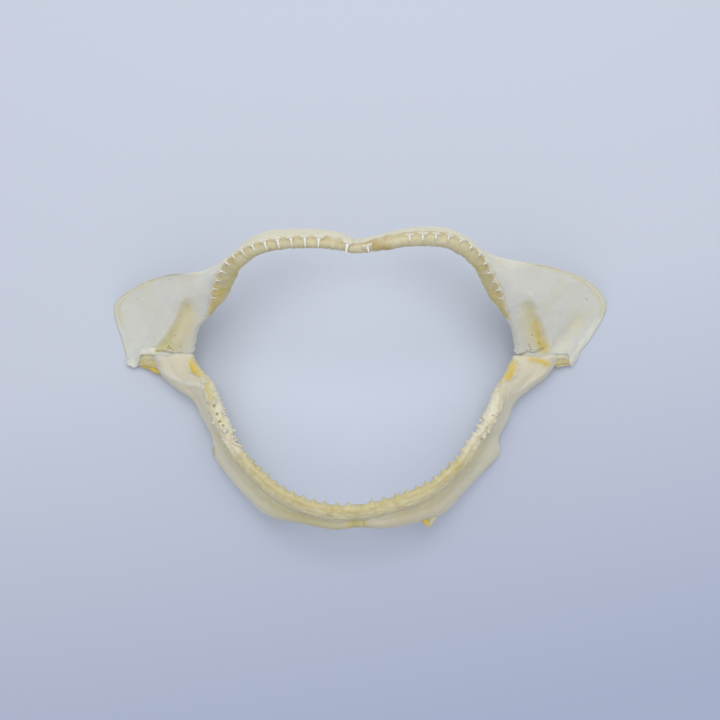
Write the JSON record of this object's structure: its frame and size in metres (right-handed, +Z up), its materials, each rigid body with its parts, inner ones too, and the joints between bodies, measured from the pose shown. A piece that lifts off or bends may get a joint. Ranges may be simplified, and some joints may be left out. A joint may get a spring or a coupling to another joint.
{
  "type": "shark jaw",
  "caption": "Dried shark jaws spread wide open on their back, with wing-shaped upper cartilages, a rounded lower arch and rows of slender pointed teeth along dried gums.",
  "frame": {"origin": "middle of the footprint, on the level surface that the jaws rest on", "axes": "+X from the shark's right to its left, +Y from the lower jaw to the upper jaw, +Z up, the way the teeth point"},
  "size_m": [0.1508, 0.0862, 0.0482],
  "materials": {
    "cartilage": "dried calcified cartilage, pale cream, dull and slightly translucent, smooth with faint grain",
    "gum_and_teeth": "dried gum, khaki to beige, leathery with fine wrinkles, and glossy off-white teeth that stand in it",
    "dried_tissue": "dried ligament and connective tissue, amber yellow, slightly waxy"
  },
  "bodies": {
    "root": {"upper_cartilage_left": "cartilage", "upper_cartilage_right": "cartilage", "lower_cartilage_left": "cartilage", "lower_cartilage_right": "cartilage", "upper_teeth_left": "gum_and_teeth", "upper_teeth_right": "gum_and_teeth", "lower_teeth_left": "gum_and_teeth", "lower_teeth_right": "gum_and_teeth", "joint_tissue_left": "dried_tissue", "joint_tissue_right": "dried_tissue", "wing_tissue_left": "dried_tissue", "wing_tissue_right": "dried_tissue", "upper_front_ligament": "dried_tissue", "lower_front_ligament": "dried_tissue"}
  },
  "joints": []
}
